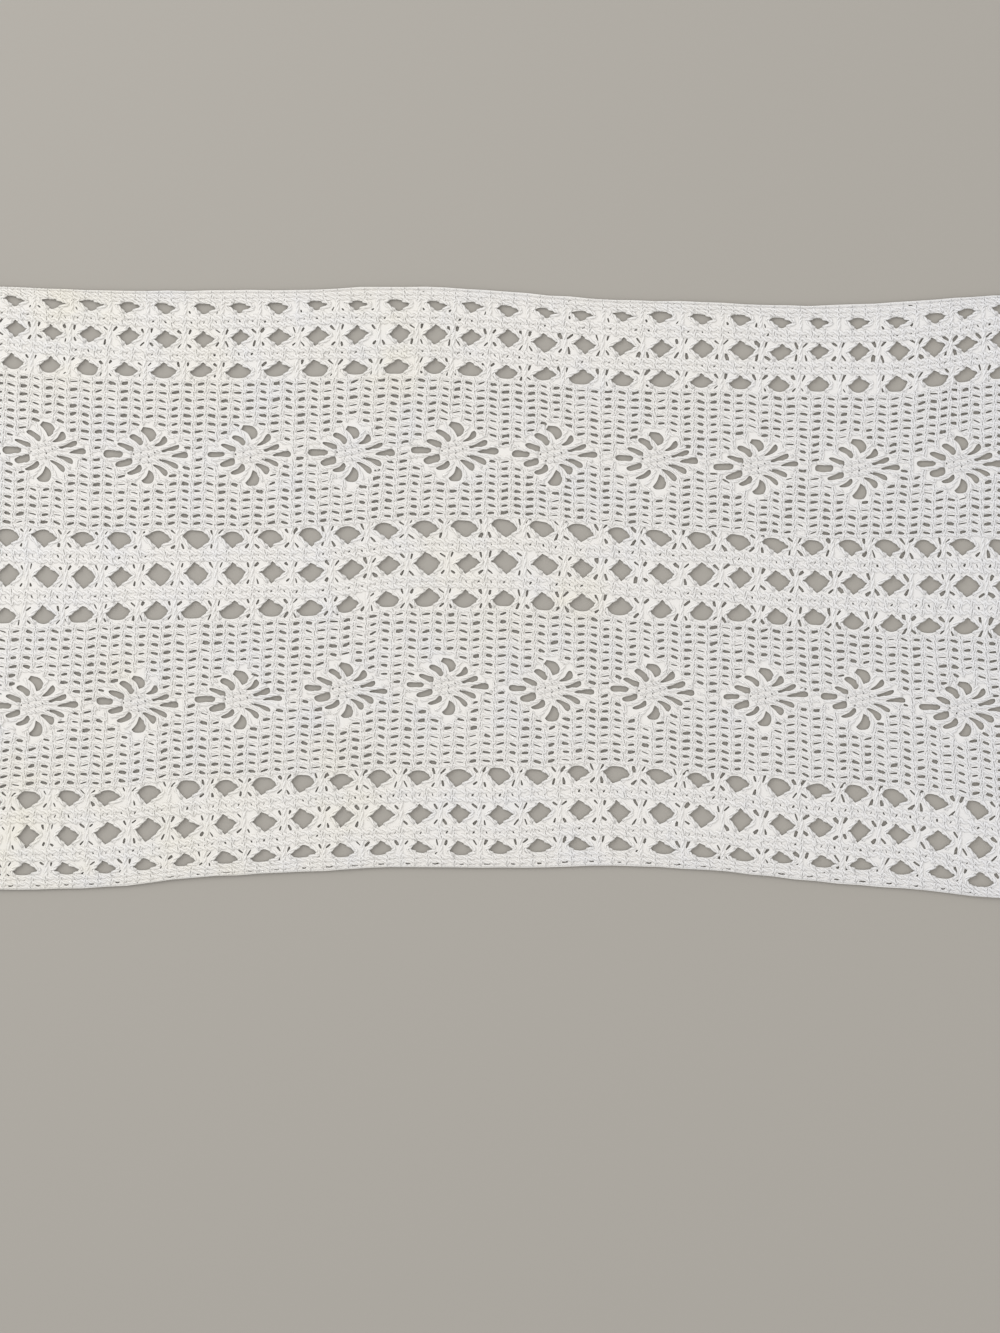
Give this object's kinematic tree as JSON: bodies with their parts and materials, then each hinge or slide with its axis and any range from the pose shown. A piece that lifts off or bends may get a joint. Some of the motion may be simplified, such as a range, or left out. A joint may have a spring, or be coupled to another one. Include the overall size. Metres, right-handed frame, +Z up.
{
  "type": "crochet table runner",
  "caption": "Flat stretch of white cotton crochet table runner with three openwork bands of gathered chains and two plain bands set with spider motifs.",
  "frame": {"origin": "centre of the bounding box, on the underside", "axes": "+X along the runner's length, +Y across it towards the back edge, +Z up from the surface it lies on"},
  "size_m": [0.5782, 0.3084, 0.0022],
  "materials": {
    "yarn": "off-white matt cotton crochet yarn, about 1 mm thick, faintly mottled"
  },
  "bodies": {
    "root": {"runner": "yarn"}
  },
  "joints": []
}
